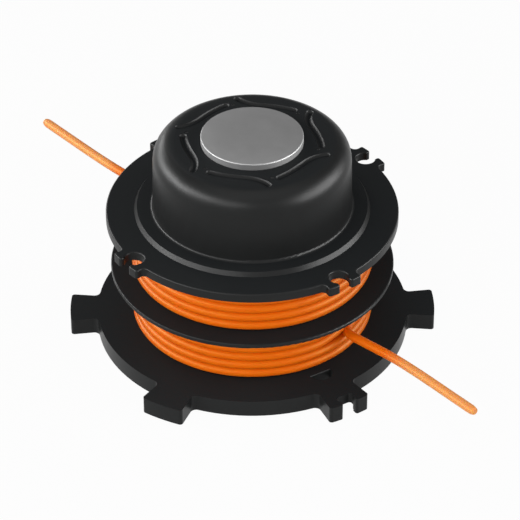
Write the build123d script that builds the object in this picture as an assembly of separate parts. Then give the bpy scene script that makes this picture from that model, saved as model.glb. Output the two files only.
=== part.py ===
# Trimmer line spool: a bump feed spool for two lines, standing with its knob up.
# Millimetres. The axis is Z, the bottom face lies on Z = 0, and -Y is the photo's front.
import os
from math import atan2, cos, degrees, hypot, pi, radians, sin, tan

from build123d import *

# Line: diameter, room between turns, turns in one layer
line_d = 2.4
turn_gap = 0.16
turns_per_layer = 5
line_r = line_d / 2
turn_pitch = line_d + turn_gap
winding_h = line_d + turn_pitch * (turns_per_layer - 1)

# Flanges and the two line chambers, from the bottom up
bottom_flange_r = 40.0
bottom_flange_t = 4.5
chamber_slack = 1.06
middle_flange_r = 36.2
middle_flange_t = 1.3
top_flange_r = 37.1
top_flange_t = 2.4
rim_round = 0.5
thin_rim_round = 0.35
chamber_h = winding_h + chamber_slack
middle_flange_z = bottom_flange_t + chamber_h
upper_floor_z = middle_flange_z + middle_flange_t
top_flange_z = upper_floor_z + chamber_h
top_face_z = top_flange_z + top_flange_t

# Bump knob, the collar round its foot, and the drum under them
knob_foot_r = 25.3
knob_draft = 0.45
knob_h = 20.2
shoulder_round = 5.5
foot_round = 0.7
collar_land = 3.9
collar_slope = 0.7
collar_h = 1.1
drum_step = 0.9
knob_shoulder_r = knob_foot_r - knob_draft
collar_top_r = knob_foot_r + collar_land
collar_foot_r = collar_top_r + collar_slope
drum_r = knob_foot_r + drum_step
collar_z = top_face_z + collar_h
knob_top_z = top_face_z + knob_h

# Wear button, pressed into the knob
button_r = 12.9
button_clearance = 0.15
button_seat_depth = 1.6
button_proud = 1.65
button_crown = 0.8
button_slope_w = 4.4
button_crown_round = 42.0
button_edge_round = 0.3
shank_r = 3.5
shank_len = 4.5
seat_z = knob_top_z - button_seat_depth
button_rim_z = knob_top_z + button_proud
button_top_z = button_rim_z + button_crown
button_flat_r = button_r - button_slope_w

# Hollow hub: cavity, roof, spindle socket and the ribs that the feed spring bears on
drum_wall = 2.8
knob_wall = 2.45
roof_t = 3.2
roof_round = 3.0
socket_r = 5.0
socket_mouth_z = 6.0
socket_roof = 3.5
socket_lead_in = 0.6
boss_wall = 3.0
spring_rib_count = 6
spring_rib_t = 1.8
spring_rib_h = 3.0
cavity_mouth_r = drum_r - drum_wall
cavity_roof_r = knob_shoulder_r - knob_wall
boss_r = socket_r + boss_wall
roof_z = knob_top_z - roof_t
socket_end_z = seat_z - shank_len - socket_roof
spring_rib_z = roof_z - spring_rib_h

# Indexing lugs round the bottom flange, of which two that face each other have a slot for the line
lug_count = 6
slotted_lug_count = 2
lug_first_angle = 1.3
lug_half_angle = 6.9
lug_reach = 7.1
lug_root_round = 1.5
lug_corner_round = 0.8
lug_slot_neck = 3.8
lug_slot_setback = 2.3
lug_slot_pocket_len = 4.6
lug_slot_pocket_w = 2.0
lug_tip_round = 0.6
half_moon_r = 3.0
half_moon_rim = 3.9
half_moon_edge_round = 0.3
lug_r = bottom_flange_r + lug_reach
lug_slot_pocket_r = lug_r - lug_slot_setback
half_moon_chord = bottom_flange_r - half_moon_rim - half_moon_r

# Relief under the bottom flange, with a rib to each lug, and under the two slotted lugs
relief_land = 2.0
relief_rim = 3.4
relief_depth = 1.6
relief_rib_t = 2.4
relief_corner_round = 1.0
lug_hollow_len = 4.2
lug_hollow_w = 6.4
relief_inner_r = drum_r + relief_land
relief_outer_r = bottom_flange_r - relief_rim

# Line holders round the top flange, two pairs that face each other
holder_angles = (36.9, 125.8, 216.9, 305.8)
holder_half_angle = 7.15
holder_reach = 2.5
holder_pocket_r = 2.5
holder_pocket_setback = 0.55
holder_neck = 3.4
holder_root_round = 1.2
holder_tip_round = 0.6
holder_lip_round = 0.45
holder_r = top_flange_r + holder_reach
holder_pocket_at = top_flange_r - holder_pocket_setback

# Curved grooves in the knob's face: round section with its middle above the face, and a path that gives
# the radius against the angle from the groove's start
groove_count = 6
groove_first_angle = 53.0
groove_r = 1.1
groove_middle_lift = 0.5
groove_path = ((17.4, 0.0), (16.8, 10.0), (16.3, 24.0), (16.5, 36.0), (17.5, 43.0), (19.5, 48.5))
dimple_r = 0.5
dimple_at = (16.9, -6.0)

# Windings: radius of the turns, flats on each ridge, and the slanting hole that holds a line's inner end
layer_nesting = 2.25
ridge_flats = 6
anchor_slant = 45.0
anchor_len = 9.8
anchor_clearance = 0.25
anchor_turn = 2.5
lower_anchor_angle = 70.0
upper_anchor_angle = 45.0
inner_turn_r = drum_r + line_r
outer_turn_r = inner_turn_r + layer_nesting

# Free ends of the two lines: the points that each one runs through, from its winding to its tip
exit_angle = 40.0
exit_turn = 2
exit_dip = 0.12
lower_end_drop = 0.3
upper_end_drop = 0.1
bend_share = 0.45
exit_x = outer_turn_r * cos(radians(exit_angle))
exit_y = outer_turn_r * sin(radians(exit_angle))
exit_rise = line_r + exit_turn * turn_pitch - exit_dip
lower_exit_z = bottom_flange_t + exit_rise
upper_exit_z = upper_floor_z + exit_rise
lower_end_z = lower_exit_z - lower_end_drop
upper_end_z = upper_exit_z - upper_end_drop
lower_end_route = ((exit_x, -exit_y, lower_exit_z), (37.1, -31.2, lower_end_z), (54.6, -51.2, lower_end_z))
upper_end_route = ((-exit_x, exit_y, upper_exit_z), (-37.0, 32.2, upper_end_z), (-55.7, 53.8, upper_end_z))

# Reach of the search for a corner of an outline
corner_reach = 0.5


def polar(radius, angle):
    """Point in the XY plane at a radius and an angle in degrees."""
    return (radius * cos(radians(angle)), radius * sin(radians(angle)))


def turned(points, rounds):
    """Solid of revolution of a section given as (radius, height), with some of its corners rounded."""
    section = make_face(Polyline(*points, close=True))
    for (x, y), radius in rounds.items():
        corner = section.vertices().sort_by_distance((x, y, 0))[0]
        section = fillet(corner, radius)
    return revolve(Plane.XZ * section, Axis.Z)


def pie(radius, half_angle):
    """Flat slice of a disc about the X axis, with its point on the origin."""
    low = polar(radius, -half_angle)
    high = polar(radius, half_angle)
    return make_face(Line((0, 0), low) + ThreePointArc(low, (radius, 0), high) + Line(high, (0, 0)))


def corners_at(outline, radius, angles, spread):
    """Corners of a flat outline at a radius, within some degrees of the given angles."""
    found = []
    for corner in outline.vertices():
        turn = degrees(atan2(corner.Y, corner.X))
        near = min(abs((turn - angle + 180) % 360 - 180) for angle in angles)
        if abs(hypot(corner.X, corner.Y) - radius) < corner_reach and near < spread:
            found.append(corner)
    return found


def bottom_plate():
    """Bottom flange with its lugs, the two slotted lugs and the half-moon holes."""
    lug_angles = [lug_first_angle + 360 / lug_count * k for k in range(lug_count)]
    lugs_per_slot = lug_count // slotted_lug_count
    slotted_angles = lug_angles[lugs_per_slot - 1::lugs_per_slot]
    outline = Rot(0, 0, lug_first_angle) * Circle(bottom_flange_r)
    for angle in lug_angles:
        outline += Rot(0, 0, angle) * pie(lug_r, lug_half_angle)
    outline = fillet(corners_at(outline, bottom_flange_r, lug_angles, 2 * lug_half_angle), lug_root_round)
    outline = fillet(corners_at(outline, lug_r, lug_angles, 2 * lug_half_angle), lug_corner_round)
    for angle in slotted_angles:
        mouth_len = lug_r - lug_slot_pocket_r + lug_tip_round
        slot = Pos(lug_slot_pocket_r + mouth_len / 2, 0) * Rectangle(mouth_len, lug_slot_neck)
        pocket = Rot(0, 0, 90) * SlotOverall(lug_slot_pocket_len, lug_slot_pocket_w)
        slot += Pos(lug_slot_pocket_r, 0) * pocket
        outline -= Rot(0, 0, angle) * slot
    outline = fillet(corners_at(outline, lug_r, slotted_angles, lug_half_angle / 2), lug_tip_round)
    for angle in slotted_angles:
        moon = Pos(half_moon_chord, 0) * Circle(half_moon_r)
        moon -= Pos(half_moon_chord - half_moon_r, 0) * Rectangle(2 * half_moon_r, 2 * half_moon_r)
        outline -= Rot(0, 0, angle) * moon
    plate = extrude(outline, bottom_flange_t)
    face = plate.faces().sort_by(Axis.Z)[-1]
    chords = [wire.edges().filter_by(GeomType.LINE)[0] for wire in face.inner_wires()]
    plate = fillet(face.outer_wire().edges(), rim_round)
    plate = fillet(chords, half_moon_edge_round)
    relief = Circle(relief_outer_r) - Circle(relief_inner_r)
    for angle in lug_angles:
        relief -= Rot(0, 0, angle) * Pos(relief_outer_r / 2, 0) * Rectangle(relief_outer_r, relief_rib_t)
    hollow = Pos(lug_slot_pocket_r - lug_hollow_len / 2, 0) * Rectangle(lug_hollow_len, lug_hollow_w)
    for angle in slotted_angles:
        relief += Rot(0, 0, angle) * hollow
    relief = fillet(relief.vertices(), relief_corner_round)
    return plate - extrude(relief, relief_depth)


def top_plate():
    """Top flange with its four line holders, each two fingers round a keyhole slot."""
    outline = Rot(0, 0, holder_angles[0]) * Circle(top_flange_r)
    for angle in holder_angles:
        outline += Rot(0, 0, angle) * pie(holder_r, holder_half_angle)
    roots = corners_at(outline, top_flange_r, holder_angles, 2 * holder_half_angle)
    outline = fillet(roots, holder_root_round)
    outline = fillet(corners_at(outline, holder_r, holder_angles, 2 * holder_half_angle), holder_tip_round)
    for angle in holder_angles:
        neck_len = holder_r - holder_pocket_at + holder_tip_round
        slot = Pos(holder_pocket_at + neck_len / 2, 0) * Rectangle(neck_len, holder_neck)
        slot += Pos(holder_pocket_at, 0) * Circle(holder_pocket_r)
        outline -= Rot(0, 0, angle) * slot
    outline = fillet(corners_at(outline, holder_r, holder_angles, holder_half_angle / 2), holder_tip_round)
    plate = extrude(outline, top_flange_t)
    plate = fillet(plate.faces().sort_by(Axis.Z)[-1].outer_wire().edges(), holder_lip_round)
    return Pos(0, 0, top_flange_z) * plate


def middle_plate():
    """Thin plain flange between the two chambers."""
    plate = extrude(Circle(middle_flange_r), middle_flange_t)
    return Pos(0, 0, middle_flange_z) * fillet(plate.edges(), thin_rim_round)


def knob_groove(start_angle):
    """Cutter for one shallow round groove in the knob's face, and the dimple before it."""
    points = [polar(radius, start_angle + turn) for radius, turn in groove_path]
    path = Spline(*points)
    section = Plane(origin=path @ 0, z_dir=path % 0) * Circle(groove_r)
    groove = sweep(section, path=path)
    for end in (path @ 0, path @ 1):
        groove += Pos(end) * Sphere(groove_r)
    radius, turn = dimple_at
    dimple = Pos(*polar(radius, start_angle + turn)) * Sphere(dimple_r)
    return Pos(0, 0, knob_top_z) * (Pos(0, 0, groove_middle_lift) * groove + dimple)


def anchor(floor_z, angle, radius):
    """Round bar that slants through the drum wall, from the inner layer of turns into the hub."""
    height = floor_z + line_r + anchor_turn * turn_pitch
    bar = Pos(anchor_len / 2, 0) * Cylinder(radius, anchor_len, rotation=(0, 90, 0))
    return Rot(0, 0, angle) * Pos(inner_turn_r, 0, height) * Rot(0, 0, 180 - anchor_slant) * bar


def spool_body():
    """The black moulding: drum, three flanges, collar and knob, hollow from below."""
    shell = turned(
        [(0, 0), (drum_r, 0), (drum_r, top_face_z), (collar_foot_r, top_face_z), (collar_top_r, collar_z),
         (knob_foot_r, collar_z), (knob_shoulder_r, knob_top_z), (0, knob_top_z)],
        {(knob_foot_r, collar_z): foot_round, (knob_shoulder_r, knob_top_z): shoulder_round},
    )
    cavity = turned(
        [(0, 0), (cavity_mouth_r, 0), (cavity_roof_r, roof_z), (0, roof_z)],
        {(cavity_roof_r, roof_z): roof_round},
    )
    boss = turned(
        [(0, socket_end_z), (socket_r, socket_end_z), (socket_r, socket_mouth_z + socket_lead_in),
         (socket_r + socket_lead_in, socket_mouth_z), (boss_r, socket_mouth_z), (boss_r, roof_z),
         (0, roof_z)],
        {},
    )
    body = shell + bottom_plate() + middle_plate() + top_plate()
    body -= cavity
    body += boss
    rib_len = cavity_mouth_r - socket_r - boss_wall / 2
    rib = Pos(cavity_mouth_r - rib_len / 2, 0, spring_rib_z) * Box(
        rib_len, spring_rib_t, spring_rib_h, align=(Align.CENTER, Align.CENTER, Align.MIN))
    for k in range(spring_rib_count):
        body += Rot(0, 0, lug_first_angle + 360 / spring_rib_count * (k + 0.5)) * rib & shell
    seat_r = button_r + button_clearance
    body -= Pos(0, 0, seat_z + button_seat_depth / 2) * Cylinder(seat_r, button_seat_depth)
    body -= Pos(0, 0, seat_z - shank_len / 2) * Cylinder(shank_r, shank_len)
    for k in range(groove_count):
        body -= knob_groove(groove_first_angle + 360 / groove_count * k)
    for floor_z, angle in ((bottom_flange_t, lower_anchor_angle), (upper_floor_z, upper_anchor_angle)):
        body -= anchor(floor_z, angle, line_r + anchor_clearance)
    return body


def winding(floor_z, anchor_angle):
    """One line as wound: a ring with a round ridge for each outer turn, and its end held in the drum."""
    section = [(drum_r, floor_z)]
    for k in range(turns_per_layer):
        middle = floor_z + line_r + turn_pitch * k
        for corner in range(ridge_flats + 1):
            x, y = polar(line_r, 180 * corner / ridge_flats - 90)
            section.append((outer_turn_r + x, middle + y))
    section.append((drum_r, section[-1][1]))
    return turned(section, {}) + anchor(floor_z, anchor_angle, line_r)


def line_end(name, route, wound):
    """Free end of a line: a round bar along its route, less the part inside its winding."""
    radii = []
    for before, here, after in zip(route, route[1:], route[2:]):
        run_in = Vector(*here) - Vector(*before)
        run_out = Vector(*after) - Vector(*here)
        half_turn = radians(run_in.get_angle(run_out)) / 2
        radii.append(bend_share * min(run_in.length, run_out.length) / tan(half_turn))
    path = FilletPolyline(*route, radius=radii)
    section = Plane(origin=path @ 0, z_dir=path % 0) * Circle(line_r)
    bar = sweep(section, path=path)
    share = bar.volume / (pi * line_r ** 2 * path.length)
    print(name, "bend radii", [round(radius, 1) for radius in radii], "length", round(path.length, 1),
          "volume over section times length", round(share, 4))
    return (bar - wound).solids().sort_by(SortBy.VOLUME)[-1]


def wear_button():
    """Metal button: a disc, flat in the middle and falling to its rim, with a shank pressed into the knob."""
    disc = turned(
        [(0, seat_z), (button_r, seat_z), (button_r, button_rim_z), (button_flat_r, button_top_z),
         (0, button_top_z)],
        {(button_flat_r, button_top_z): button_crown_round, (button_r, button_rim_z): button_edge_round},
    )
    shank = Pos(0, 0, seat_z - shank_len / 2) * Cylinder(shank_r, shank_len)
    return disc + shank


os.makedirs("parts", exist_ok=True)
lower_winding = winding(bottom_flange_t, lower_anchor_angle)
upper_winding = winding(upper_floor_z, upper_anchor_angle)
pieces = {
    "spool_body": spool_body(),
    "wear_button": wear_button(),
    "lower_line_winding": lower_winding,
    "upper_line_winding": upper_winding,
    "lower_line_end": line_end("lower_line_end", lower_end_route, lower_winding),
    "upper_line_end": line_end("upper_line_end", upper_end_route, upper_winding),
}
for name, piece in pieces.items():
    piece.label = name
    export_step(piece, f"parts/{name}.step")
    box = piece.bounding_box()
    print(name, "valid", piece.is_valid, "solids", len(piece.solids()), "volume", round(piece.volume, 1),
          "box", [round(v, 2) for v in (*box.min, *box.max)])
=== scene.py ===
from math import radians

import bpy
import numpy as np
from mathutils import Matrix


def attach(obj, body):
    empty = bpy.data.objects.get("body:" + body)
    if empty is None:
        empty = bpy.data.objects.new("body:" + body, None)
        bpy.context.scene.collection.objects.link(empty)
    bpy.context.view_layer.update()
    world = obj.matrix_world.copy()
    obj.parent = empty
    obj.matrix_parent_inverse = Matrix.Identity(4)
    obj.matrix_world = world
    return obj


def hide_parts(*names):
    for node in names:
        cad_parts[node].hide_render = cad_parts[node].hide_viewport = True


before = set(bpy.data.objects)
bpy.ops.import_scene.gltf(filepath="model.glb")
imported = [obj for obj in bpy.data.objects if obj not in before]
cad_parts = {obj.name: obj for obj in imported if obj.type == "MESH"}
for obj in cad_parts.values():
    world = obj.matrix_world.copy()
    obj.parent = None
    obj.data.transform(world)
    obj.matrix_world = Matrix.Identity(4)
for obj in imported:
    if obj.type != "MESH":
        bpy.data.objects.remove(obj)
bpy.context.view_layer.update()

# Viewpoint: a long lens in front of the spool, looking down on it at 36 degrees, so that the flanges
# show as ellipses and the knob hides only the back of the top flange.
look_down = 36.29
view = bpy.data.objects.new("view", bpy.data.cameras.new("view"))
view.location = (0.001963, -0.646772, 0.493851)
view.rotation_euler = (radians(90 - look_down), 0, 0)
view.data.sensor_width = 36
view.data.lens = 216.65
view.data.clip_start = 0.05
bpy.context.scene.collection.objects.link(view)
bpy.context.scene.camera = view
bpy.context.scene.view_settings.view_transform = "Standard"

# Cutting lines: two lengths of extruded nylon monofilament, 2.4 mm thick and dyed orange through and
# through. Each one is pushed into a slanting hole of the drum, wound clockwise in two layers that nest in
# each other, and its free end is bent out of the outer layer and cut off.
line_d = 0.0024
turn_pitch = 0.00256
layer_r = np.array([0.0274, 0.02965])
points_per_turn = 36
# The hole's slant in degrees from the radius at its mouth, and how far in the line's points lie
hole_slant = 135
hole_reach = np.array([0.0098, 0.005, 0.0])
# Degrees of winding that the bends at the hole and at the free end take up
bend_at_hole = 15
bend_at_free_end = 12
# Share of the thickness that the cutter leaves at the tip
cut_tip = 0.72
# Sockets of a Mix node for colours, which go by number because its other kinds use the same names
mix_share, mix_first, mix_second, mix_result = 0, 6, 7, 2


class Value:
    """A socket in a material's node tree. Arithmetic on it adds Math nodes to that tree."""

    def __init__(self, tree, socket=None):
        self.tree = tree
        self.socket = socket

    def node(self, kind, settings, sockets, output=0):
        """Adds a node: its settings come first, then the values or links of its sockets."""
        made = self.tree.nodes.new(kind)
        for name, setting in settings.items():
            setattr(made, name, setting)
        for name, given in sockets.items():
            if isinstance(given, Value):
                self.tree.links.new(given.socket, made.inputs[name])
            else:
                made.inputs[name].default_value = given
        return Value(self.tree, made.outputs[output] if made.outputs else None)

    def maths(self, operation, first, second):
        return self.node("ShaderNodeMath", {"operation": operation}, {0: first, 1: second})

    def __add__(self, other):
        return self.maths("ADD", self, other)

    def __radd__(self, other):
        return self.maths("ADD", other, self)

    def __mul__(self, other):
        return self.maths("MULTIPLY", self, other)

    def __rmul__(self, other):
        return self.maths("MULTIPLY", other, self)


def finish_of(name):
    """Empty material, and the value that its nodes are added from."""
    material = bpy.data.materials.new(name)
    material.use_nodes = True
    material.node_tree.nodes.clear()
    return material, Value(material.node_tree)


def orange_nylon():
    """Clouded orange monofilament: part of the light wanders through it, red the farthest, and the drawn
    skin has a low satin gloss with small cloudy patches. By the distance from the axis the free ends turn
    lighter past the rim of the bottom flange: painted light that stands in for light coming through them
    from all sides."""
    material, start = finish_of("orange_nylon")
    place = start.node("ShaderNodeTexCoord", {}, {}, "Object")
    cloud = start.node("ShaderNodeTexNoise", {}, {"Vector": place, "Scale": 240.0, "Detail": 3.0})
    colour = start.node(
        "ShaderNodeMix", {"data_type": "RGBA"},
        {mix_share: cloud, mix_first: (0.665, 0.107, 0.002, 1.0), mix_second: (0.725, 0.14, 0.003, 1.0)},
        mix_result)
    level = start.node("ShaderNodeVectorMath", {"operation": "MULTIPLY"}, {0: place, 1: (1.0, 1.0, 0.0)})
    from_axis = start.node("ShaderNodeVectorMath", {"operation": "LENGTH"}, {0: level}, "Value")
    # Painted light: past the bottom flange's rim the free ends' colour is blended towards a lighter orange,
    painted_glow_share = start.node(
        "ShaderNodeMapRange", {"interpolation_type": "SMOOTHSTEP"},
        {"Value": from_axis, "From Min": 0.043, "From Max": 0.053})
    # standing in for light that comes through them; this lighter orange is that painted glow.
    painted_glow_colour = start.node(
        "ShaderNodeMix", {"data_type": "RGBA"},
        {mix_share: painted_glow_share, mix_first: colour, mix_second: (0.715, 0.28, 0.085, 1.0)}, mix_result)
    nylon = start.node(
        "ShaderNodeBsdfPrincipled", {},
        {"Base Color": painted_glow_colour, "Roughness": 0.36 + 0.12 * cloud,
         "Subsurface Weight": 0.3, "Subsurface Radius": (1.0, 0.35, 0.05), "Subsurface Scale": 0.003,
         "IOR": 1.53, "Specular IOR Level": 0.2, "Specular Tint": (1.0, 0.85, 0.25, 1.0)})
    start.node("ShaderNodeOutputMaterial", {}, {"Surface": nylon})
    return material


def wound_line(side, floor_z, anchor_angle, stations, free_end):
    """Round line along one smooth curve. Its wound part is a spiral: the stations give layer and level
    against the degrees travelled clockwise, and between them both change evenly. Ahead of it is the
    slanting end in the drum, and after it the points of the free end."""
    travelled, layer, level = np.array(stations).T
    steps = np.arange(travelled[0] + bend_at_hole, travelled[-1] - bend_at_free_end, 360 / points_per_turn)
    clockwise = -np.radians(steps)
    layer_now = np.interp(steps, travelled, layer)
    # The curve runs inside its control points, so these stand out by the cosine of half a step
    radius = np.interp(layer_now, (0, 1), layer_r) / np.cos(np.pi / points_per_turn)
    lowest = floor_z + line_d / 2
    height = lowest + turn_pitch * np.interp(steps, travelled, level)
    turns = np.stack([radius * np.cos(clockwise), radius * np.sin(clockwise), height], 1)
    mouth = np.radians(anchor_angle)
    inward = np.radians(anchor_angle + hole_slant)
    hole = np.stack([np.cos(mouth) * layer_r[0] + hole_reach * np.cos(inward),
                     np.sin(mouth) * layer_r[0] + hole_reach * np.sin(inward),
                     np.full(len(hole_reach), lowest + turn_pitch * level[0])], 1)
    points = np.concatenate([hole, turns, np.array(free_end)])
    curve = bpy.data.curves.new(f"{side}_line", "CURVE")
    curve.dimensions = "3D"
    curve.bevel_depth = line_d / 2
    curve.bevel_resolution = 5
    curve.use_fill_caps = True
    curve.resolution_u = 6
    spline = curve.splines.new("NURBS")
    spline.points.add(len(points) - 1)
    spline.points.foreach_set("co", np.column_stack([points, np.ones(len(points))]).ravel())
    spline.order_u = 3
    spline.use_endpoint_u = True
    spline.points[len(points) - 1].radius = cut_tip
    line = bpy.data.objects.new(f"{side}_line", curve)
    bpy.context.scene.collection.objects.link(line)
    line.data.materials.append(nylon)
    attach(line, "root")
    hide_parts(f"{side}_line_winding", f"{side}_line_end")


nylon = orange_nylon()
wound_line(
    "lower", floor_z=0.0045, anchor_angle=70,
    stations=[
        (-70, 0, 2.5), (330, 0, 2.5), (370, 0, 3.5), (650, 0, 3.5), (690, 1, 4), (756, 1, 4), (772, 1, 3),
        (1116, 1, 3), (1132, 1, 2), (1290, 1, 2), (1330, 0, 1.5), (1460, 0, 1.5), (1475, 0.35, 1.65),
        (1492, 0.35, 1.65), (1507, 0, 1.5), (1610, 0, 1.5), (1650, 0, 0.5), (1730, 0, 0.5), (1770, 1, 0),
        (2050, 1, 0), (2090, 1, 1), (2410, 1, 1), (2450, 1, 2), (2560, 1, 2)],
    free_end=[
        (0.0227, -0.0191, 0.0107), (0.0287, -0.0242, 0.0106), (0.0371, -0.0312, 0.0104),
        (0.0529, -0.0493, 0.0104), (0.0541, -0.0506, 0.0104), (0.0546, -0.0512, 0.0104)])
wound_line(
    "upper", floor_z=0.0195, anchor_angle=45,
    stations=[
        (-45, 0, 2.5), (345, 0, 2.5), (375, 0, 3.5), (675, 0, 3.5), (705, 1, 4), (942, 1, 4), (970, 1, 3),
        (1302, 1, 3), (1330, 1, 2), (1335, 1, 2), (1365, 0, 1.5), (1655, 0, 1.5), (1685, 0, 0.5),
        (1755, 0, 0.5), (1785, 1, 0), (2085, 1, 0), (2115, 1, 1), (2445, 1, 1), (2475, 1, 2), (2740, 1, 2)],
    free_end=[
        (-0.0227, 0.0191, 0.0257), (-0.0287, 0.0246, 0.0256), (-0.0370, 0.0322, 0.0256),
        (-0.0540, 0.0518, 0.0256), (-0.0552, 0.0532, 0.0256), (-0.0557, 0.0538, 0.0256)])

# Spool body: one moulding in black nylon with a fine spark-eroded grain. Its flat faces are as dull as the
# tool left them and are painted darker as shade; its walls and edges are smoother, because hands and the
# head have rubbed them.


def black_moulding():
    """Black plastic: cloudy sheen from the flow of the melt, and a fine grain as bump. Where the surface
    looks straight up it is rougher, and its colour is painted darker as shade; walls and rounded edges keep
    a satin gloss."""
    material, start = finish_of("black_moulding")
    place = start.node("ShaderNodeTexCoord", {}, {}, "Object")
    flow = start.node("ShaderNodeTexNoise", {}, {"Vector": place, "Scale": 90.0, "Detail": 4.0})
    grain = start.node("ShaderNodeTexNoise", {}, {"Vector": place, "Scale": 3200.0, "Detail": 2.0})
    facing = start.node("ShaderNodeTexCoord", {}, {}, "Normal")
    upward = start.node("ShaderNodeSeparateXYZ", {}, {"Vector": facing}, "Z")
    flat = start.node("ShaderNodeMapRange", {}, {"Value": upward, "From Min": 0.93, "From Max": 0.985})
    sheen = start.node(
        "ShaderNodeMix", {"data_type": "RGBA"},
        {mix_share: flow, mix_first: (0.0095, 0.01, 0.01, 1.0), mix_second: (0.0135, 0.014, 0.014, 1.0)},
        mix_result)
    # Painted shade: faces that look straight up get a darker black than the walls and edges.
    colour = start.node(
        "ShaderNodeMix", {"data_type": "RGBA"},
        {mix_share: flat, mix_first: sheen, mix_second: (0.0045, 0.0058, 0.0065, 1.0)}, mix_result)
    bump = start.node("ShaderNodeBump", {}, {"Strength": 0.2, "Distance": 0.00006, "Height": grain})
    plastic = start.node(
        "ShaderNodeBsdfPrincipled", {},
        {"Base Color": colour, "Roughness": 0.3 + 0.1 * flow + 0.35 * flat,
         "Normal": bump, "Specular IOR Level": 0.12})
    start.node("ShaderNodeOutputMaterial", {}, {"Surface": plastic})
    return material


body_plastic = black_moulding()
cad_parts["spool_body"].data.materials.clear()
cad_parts["spool_body"].data.materials.append(body_plastic)

# Wear button: a turned steel disc with a satin face, pressed into the knob so that it and not the plastic
# rubs on the ground when the head is bumped.


def satin_steel():
    """Satin steel: fine turning rings about the axis as bump, and small scuffs in colour and roughness."""
    material, start = finish_of("satin_steel")
    place = start.node("ShaderNodeTexCoord", {}, {}, "Object")
    rings = start.node(
        "ShaderNodeTexWave", {"wave_type": "RINGS", "rings_direction": "Z"},
        {"Vector": place, "Scale": 900.0, "Distortion": 0.6, "Detail": 2.0}, "Fac")
    scuff = start.node("ShaderNodeTexNoise", {}, {"Vector": place, "Scale": 420.0, "Detail": 5.0})
    colour = start.node(
        "ShaderNodeMix", {"data_type": "RGBA"},
        {mix_share: scuff, mix_first: (0.24, 0.24, 0.24, 1.0), mix_second: (0.265, 0.265, 0.265, 1.0)},
        mix_result)
    bump = start.node("ShaderNodeBump", {}, {"Strength": 0.06, "Distance": 0.00005, "Height": rings})
    steel = start.node(
        "ShaderNodeBsdfPrincipled", {},
        {"Base Color": colour, "Roughness": 0.55 + 0.05 * scuff, "Normal": bump, "Metallic": 1.0})
    start.node("ShaderNodeOutputMaterial", {}, {"Surface": steel})
    return material


button_steel = satin_steel()
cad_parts["wear_button"].data.materials.clear()
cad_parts["wear_button"].data.materials.append(button_steel)

# Floor: a wide sheet of pale paper under the spool, a hair below it. It is seen as an almost even white,
# on which a faint shadow of the spool stays.
floor_half = 3.0
paper_level = -0.0002
even_white = 0.96
across = np.linspace(-floor_half, floor_half, 2)
corner_x, corner_y = np.meshgrid(across, across)
corners = np.stack([corner_x.ravel(), corner_y.ravel(), np.full(corner_x.size, paper_level)], 1)
floor_mesh = bpy.data.meshes.new("floor")
floor_mesh.from_pydata(corners.tolist(), [], [(0, 1, 3, 2)])
floor = bpy.data.objects.new("floor", floor_mesh)
bpy.context.scene.collection.objects.link(floor)


def white_paper():
    """Matt grey paper. For camera, glossy and transmitted rays most of it is an even white of strength 1."""
    material, start = finish_of("white_paper")
    seen = start.node("ShaderNodeLightPath", {}, {}, "Is Camera Ray")
    mirrored = start.node("ShaderNodeLightPath", {}, {}, "Is Glossy Ray")
    through = start.node("ShaderNodeLightPath", {}, {}, "Is Transmission Ray")
    paper = start.node("ShaderNodeBsdfDiffuse", {}, {"Color": (0.5, 0.5, 0.5, 1.0)})
    glow = start.node("ShaderNodeEmission", {}, {"Color": (1.0, 1.0, 1.0, 1.0), "Strength": 1.0})
    mixed = start.node(
        "ShaderNodeMixShader", {}, {0: even_white * (seen + mirrored + through), 1: paper, 2: glow})
    start.node("ShaderNodeOutputMaterial", {}, {"Surface": mixed})
    return material


floor_mesh.materials.append(white_paper())

# Light: a wide dim wall in front with a key lamp to its left, a soft box above and a strip on each side, as
# for a catalogue picture. White cards at the sides show only as highlights in the gloss; the rest is dim.
aim_height = 0.03


def soft_box(name, turn, rise, away, size, watts, lights_matt=True):
    """Flat lamp at a distance from the spool, turned about it from the front (minus is left) and raised by
    degrees, and facing it."""
    lamp = bpy.data.lights.new(name, "AREA")
    lamp.shape = "RECTANGLE"
    lamp.size, lamp.size_y = size
    lamp.energy = watts
    holder = bpy.data.objects.new(name, lamp)
    along_floor = away * np.cos(np.radians(rise))
    holder.location = (along_floor * np.sin(np.radians(turn)), -along_floor * np.cos(np.radians(turn)),
                       aim_height + away * np.sin(np.radians(rise)))
    holder.rotation_euler = (np.radians(90 - rise), 0, np.radians(turn))
    holder.visible_diffuse = lights_matt
    bpy.context.scene.collection.objects.link(holder)


# Turn and rise in degrees, distance and size in metres, and watts
soft_box("front_wall", 0, 24, 1.5, (3.2, 1.2), 8.5)
soft_box("front_key", -30, 26, 1.2, (0.8, 0.42), 7.4)
soft_box("top_box", 0, 80, 1.3, (1.3, 1.3), 6.4)
soft_box("left_strip", -87, 14, 0.93, (1.5, 0.42), 4.5)
soft_box("right_strip", 87, 14, 0.93, (1.5, 0.42), 6.2)
soft_box("left_front_card", -64, 27, 1.2, (0.6, 0.36), 10.5, lights_matt=False)
soft_box("left_card", -95, 19, 1.2, (0.85, 0.36), 18.5, lights_matt=False)
soft_box("left_back_card", -134, 11, 1.2, (0.8, 0.36), 7.0, lights_matt=False)
soft_box("right_card", 82, 18, 1.2, (1.2, 0.66), 32.0, lights_matt=False)

world = bpy.data.worlds.new("studio")
world.use_nodes = True
bpy.context.scene.world = world
backdrop = world.node_tree.nodes["Background"]
backdrop.inputs["Color"].default_value = (1.0, 1.0, 1.0, 1.0)
backdrop.inputs["Strength"].default_value = 0.2
